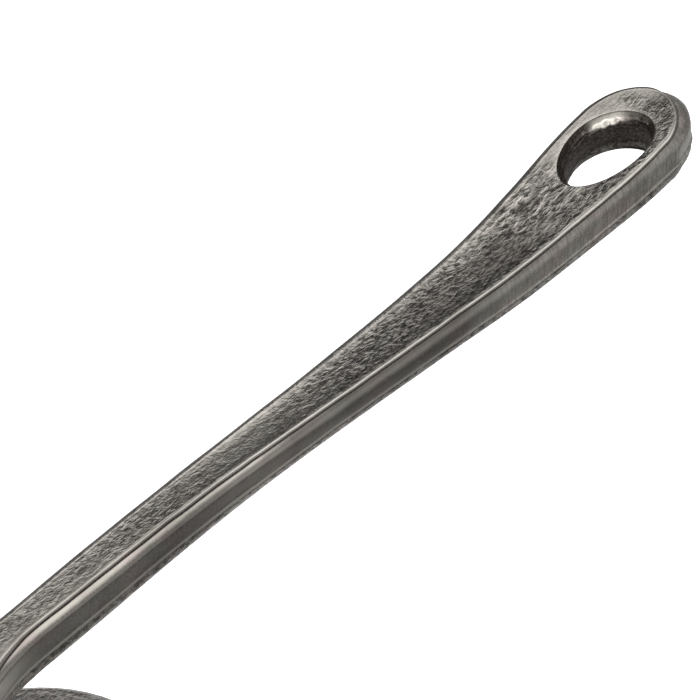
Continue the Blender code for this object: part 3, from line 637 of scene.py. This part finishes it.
def cast_metal(name, streak=1.0, attrs=True, seed=0.0):
    """Dark antique cast metal: flow streaks along the lever, a fine grain, recesses and creases painted darker as shade
    with oxide, rims painted brighter as wear and as a painted highlight.
    """
    N = Nodes(name)
    along = N.mapped((0.45, 1.0, 1.0), (seed, seed, seed))
    plain = N.mapped((1, 1, 1), (seed + 0.3, 0.1, 0.2))
    streaks = N.noise(along, 2450.0, 1.8, 0.55, 0.6)
    grain = N.noise(plain, 3900.0, 1.0, 0.5)
    broad = N.noise(plain, 210.0, 2.0, 0.5)
    tone = N.ramp(broad, [(0.30, (0.300, 0.283, 0.264)), (0.52, (0.358, 0.338, 0.318)), (0.74, (0.400, 0.375, 0.355))])
    patch = N.ramp(N.noise(N.mapped((0.5, 1, 1), (seed + 2.0, 0.5, 0)), 420.0, 2.0, 0.5), [(0.42, (0.995, 1.008, 0.985)), (0.61, (1.01, 0.935, 0.955))])
    mott = N.ramp(streaks, [(0.36, 0.10), (0.47, 0.60), (0.57, 1.06)])
    rough = N.remap(grain, 0.3, 0.7, 0.19, 0.29)
    if attrs:
        zone, wear_and_highlight, dark, amount0, pits = (N.attr(k) for k in ("zone", "wear_and_highlight", "dark", "grain", "pits"))
        tone = N.mix(N.remap(zone, 0.4, 1.0, 0.25, 1.0), tone, N.mix(1.0, tone, patch, "MULTIPLY"))
        face = N.math("MULTIPLY", N.remap(zone, 0.03, 0.28, 1.0, 0.08), amount0)
        under = N.math("MULTIPLY", N.remap(zone, 1.55, 1.75, 0.0, 1.0), N.remap(zone, 2.4, 2.6, 1.0, 0.0))
        wall = N.remap(zone, 3.2, 3.8, 0.0, 1.0)
        amount = N.math("ADD", face, N.math("ADD", N.math("MULTIPLY", under, 0.8), N.math("MULTIPLY", wall, 1.0)))
        col = N.mix(N.math("MULTIPLY", amount, 0.85, clamp=True), tone, N.mix(1.0, tone, mott, "MULTIPLY"))
        ridges = N.noise(N.mapped((0.14, 1.0, 1.0), (0.7, 0.2, 0.4)), 1500.0, 2.0, 0.6, 0.4)
        flow = N.attr("flow")
        col = N.mix(N.math("MULTIPLY", flow, 0.9), col, N.mix(1.0, col, N.ramp(ridges, [(0.36, 0.30), (0.49, 0.90), (0.61, 1.55)]), "MULTIPLY"))
        fine_pits = N.ramp(N.noise(plain, 3300.0, 4.0, 0.7), [(0.44, 1.0), (0.53, 0.0)])
        col = N.mix(N.math("MULTIPLY", fine_pits, N.math("MULTIPLY", pits, 0.9), clamp=True), col, (0.055, 0.047, 0.040))
        col = N.mix(1.0, col, N.ramp(amount0, [(0.25, (1.24, 1.245, 1.21)), (0.95, (0.79, 0.79, 0.77))]), "MULTIPLY")
        # wear and painted highlight: rims, shoulder, seam and eye lip are painted a lighter metal colour
        worn_and_highlight = N.math("MULTIPLY", N.remap(wear_and_highlight, 0.35, 1.0, 0.0, 0.85), N.remap(N.noise(plain, 700.0, 3.0, 0.6), 0.35, 0.62, 0.45, 1.0))
        col = N.mix(worn_and_highlight, col, (0.400, 0.382, 0.352))
        rough = N.math("ADD", rough, N.math("MULTIPLY", worn_and_highlight, 0.07))
        # painted shade with oxide: creases, undercuts, the hub side of the eye bevel and the eye's wall are painted
        # near black
        specks = N.ramp(grain, [(0.50, 0.0), (0.66, 1.0)])
        oxide_and_shade = N.mix(specks, (0.020, 0.015, 0.012), (0.120, 0.100, 0.090))
        col = N.mix(N.math("MULTIPLY", dark, 0.93), col, oxide_and_shade)
        rough = N.math("ADD", rough, N.math("ADD", N.math("MULTIPLY", wall, 0.3), N.math("MULTIPLY", dark, 0.12)))
        height = N.math("MULTIPLY", N.math("ADD", N.math("MULTIPLY", streaks, 0.8), N.math("MULTIPLY", grain, 0.16)), amount)
        height = N.math("ADD", height, N.math("MULTIPLY", N.noise(plain, 1100.0, 2.0, 0.5), 0.03))
        height = N.math("ADD", height, N.math("MULTIPLY", ridges, N.math("MULTIPLY", flow, 1.3)))
        brushed = N.ramp(N.noise(N.mapped((1.0, 0.3, 0.22), (0.1, 0.6, 0.2)), 3000.0, 2.0, 0.6), [(0.36, 0.72), (0.64, 1.20)])
        col = N.mix(N.math("MULTIPLY", N.attr("matte"), 0.75), col, N.mix(1.0, col, brushed, "MULTIPLY"))
        metal = N.math("SUBTRACT", 1.0, N.math("ADD", N.math("MULTIPLY", wall, 0.15), N.math("MULTIPLY", N.attr("matte"), 0.21)))
    else:
        col = N.mix(0.45, tone, mott, "MULTIPLY")
        soft = N.noise(plain, 900.0, 3.0, 0.55)
        height = N.math("ADD", N.math("ADD", N.math("MULTIPLY", streaks, 0.16), N.math("MULTIPLY", grain, 0.08)), N.math("MULTIPLY", soft, 0.5))
        metal = 1.0
    nrm = N.bump(height, 1.0, 0.00019 * streak)
    return N.out(Base_Color=col, Metallic=metal, Roughness=rough, Normal=nrm)


def dark_steel(name, base=(0.14, 0.135, 0.13), rough=0.36, scale=1.0):
    N = Nodes(name)
    p = N.mapped()
    grain = N.noise(p, 1800.0 * scale, 4.0, 0.6)
    broad = N.noise(p, 240.0 * scale, 2.0, 0.5)
    lo = tuple(c * 0.72 for c in base)
    hi = tuple(c * 1.25 for c in base)
    col = N.ramp(broad, [(0.32, lo), (0.68, hi)])
    return N.out(Base_Color=col, Metallic=1.0, Roughness=N.remap(grain, 0.3, 0.7, rough - 0.07, rough + 0.09),
                 Normal=N.bump(grain, 0.5, 0.00003))


def plastic(name, lo, hi, rough=0.5, metal=0.0):
    N = Nodes(name)
    p = N.mapped()
    g = N.noise(p, 900.0, 4.0, 0.6)
    return N.out(Base_Color=N.ramp(g, [(0.35, lo), (0.65, hi)]), Metallic=metal, Roughness=rough,
                 Normal=N.bump(N.noise(p, 3000.0, 3.0, 0.6), 0.3, 0.00003))


# ------------------------------------------------------------------ pieces
lever = build_lever()
lever.data.materials.append(cast_metal("cast_pewter_lever"))
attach(lever, "lever")
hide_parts("lever")

for nm, mat in (("back_plate", cast_metal("cast_pewter_plate", attrs=False, seed=0.7)),
                ("cockspur_nose", cast_metal("cast_pewter_nose", attrs=False, seed=1.9)),
                ("spindle", dark_steel("steel_spindle")), ("locking_screw", dark_steel("steel_lock", (0.10, 0.098, 0.095))),
                ("fixing_screw_upper", dark_steel("steel_screw_upper")), ("fixing_screw_lower", dark_steel("steel_screw_lower", scale=1.07)),
                ("stop_pin", dark_steel("steel_pin", (0.3, 0.3, 0.3))), ("retaining_clip", dark_steel("spring_clip", (0.32, 0.31, 0.30), 0.3)),
                ("wave_washer", dark_steel("spring_wave", (0.34, 0.33, 0.32), 0.28)), ("thrust_washer", dark_steel("steel_thrust", (0.4, 0.39, 0.38), 0.3)),
                ("pivot_bush", plastic("nylon_bush", (0.55, 0.53, 0.47), (0.66, 0.64, 0.58))),
                ("friction_washer", plastic("fibre_friction", (0.16, 0.055, 0.03), (0.25, 0.10, 0.055), 0.75))):
    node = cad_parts[nm]
    node.data.materials.clear()
    node.data.materials.append(mat)

# ------------------------------------------------------------------ floor, light, camera
bm = bmesh.new()
bmesh.ops.create_grid(bm, x_segments=1, y_segments=1, size=6.0)
fl = bpy.data.meshes.new("floor")
bm.to_mesh(fl)
bm.free()
floor = bpy.data.objects.new("floor", fl)
bpy.context.scene.collection.objects.link(floor)
floor.location = (0, 0, -0.0002)
fm = Nodes("pale_floor")
fcol = fm.ramp(fm.noise(fm.mapped(), 3.0, 2.0), [(0.2, 0.90), (0.8, 0.93)])
fm.out(Base_Color=fcol, Roughness=0.9, Specular_IOR_Level=0.0)
fm.bsdf.inputs["Emission Color"].default_value = (1, 1, 1, 1)
fm.bsdf.inputs["Emission Strength"].default_value = 0.55
fl.materials.append(fm.mat)
floor.visible_glossy = False


def smooth_lobe(W, d, az, el, width, soft):
    """1 within width degrees of a direction, fading to 0 over soft degrees."""
    v = Vector((math.cos(math.radians(el)) * math.cos(math.radians(az)), math.cos(math.radians(el)) * math.sin(math.radians(az)),
                math.sin(math.radians(el))))
    dot = W.new("ShaderNodeVectorMath", operation="DOT_PRODUCT")
    W.link(d, dot.inputs[0])
    dot.inputs[1].default_value = v
    c0, c1 = math.cos(math.radians(width + soft)), math.cos(math.radians(width))
    n = W.new("ShaderNodeMapRange", interpolation_type="SMOOTHSTEP")
    W.link(dot.outputs["Value"], n.inputs[0])
    for i, x in zip((1, 2, 3, 4), (c0, c1, 0.0, 1.0)):
        n.inputs[i].default_value = x
    return n.outputs[0]


class World(Nodes):
    def __init__(self):
        w = bpy.data.worlds.new("studio")
        w.use_nodes = True
        bpy.context.scene.world = w
        self.t = w.node_tree
        self.bg = next(n for n in self.t.nodes if n.type == "BACKGROUND")
        self.tc = self.new("ShaderNodeTexCoord")


W = World()
d = W.tc.outputs["Generated"]
sep = W.new("ShaderNodeSeparateXYZ")
W.link(d, sep.inputs[0])
zr = W.remap(sep.outputs[2], -1.0, 1.0, 0.0, 1.0)
s = lambda el: (math.sin(math.radians(el)) + 1) / 2
base = W.ramp(zr, [(s(-90), 0.30), (s(-50), 0.22), (s(-34), 0.12), (s(-16), 0.20), (s(-6), 0.33), (s(5), 0.31), (s(12), 0.15), (s(20), 0.07),
                   (s(27), 0.09), (s(33), 0.20), (s(38), 0.48), (s(45), 1.05), (s(54), 1.45), (s(75), 1.40), (s(90), 1.25)], "LINEAR")
total = W.math("ADD", base, 0.0)
for az, el, width, soft, gain in ((98, -33, 40, 28, 0.62), (-5, -62, 15, 30, 0.35), (-44, 2, 10, 18, 0.25), (-42, 40, 8, 20, 0.55), (20, -33, 16, 24, 0.20), (150, -20, 30, 30, 0.25), (-8, 50, 14, 16, 0.60),
                                  (-140, 25, 18, 20, 0.6), (-104, 14, 24, 22, 0.85), (-95, 52, 12, 16, 1.3)):
    total = W.math("ADD", total, W.math("MULTIPLY", smooth_lobe(W, d, az, el, width, soft), gain))
W.link(total, W.bg.inputs["Color"])
W.bg.inputs["Strength"].default_value = 1.0

AZ, EL, ROLL, DIST, FOC = 36.47, 32.66, -0.17, 0.700, 6631.4
AIM, AT = Vector((0.124, 0.0, 0.0266)), (605.2, 146.1)
ca, sa, ce, se = math.cos(math.radians(AZ)), math.sin(math.radians(AZ)), math.cos(math.radians(EL)), math.sin(math.radians(EL))
towards = Vector((-ce * ca, -ce * sa, se))
fwd = -towards
right = fwd.cross(Vector((0, 0, 1))).normalized()
up = right.cross(fwd)
cr, sr = math.cos(math.radians(ROLL)), math.sin(math.radians(ROLL))
right, up = cr * right + sr * up, -sr * right + cr * up
place = AIM - fwd * DIST - right * ((AT[0] - 350) / FOC * DIST) + up * ((AT[1] - 350) / FOC * DIST)
cd = bpy.data.cameras.new("camera")
cd.sensor_width = 36
cd.lens = FOC * 36 / 700
cd.clip_start, cd.clip_end = 0.01, 20
cam = bpy.data.objects.new("camera", cd)
bpy.context.scene.collection.objects.link(cam)
cam.matrix_world = Matrix((
    (right.x, up.x, -fwd.x, place.x), (right.y, up.y, -fwd.y, place.y), (right.z, up.z, -fwd.z, place.z), (0, 0, 0, 1)))
bpy.context.scene.camera = cam
bpy.context.scene.view_settings.view_transform = "Standard"
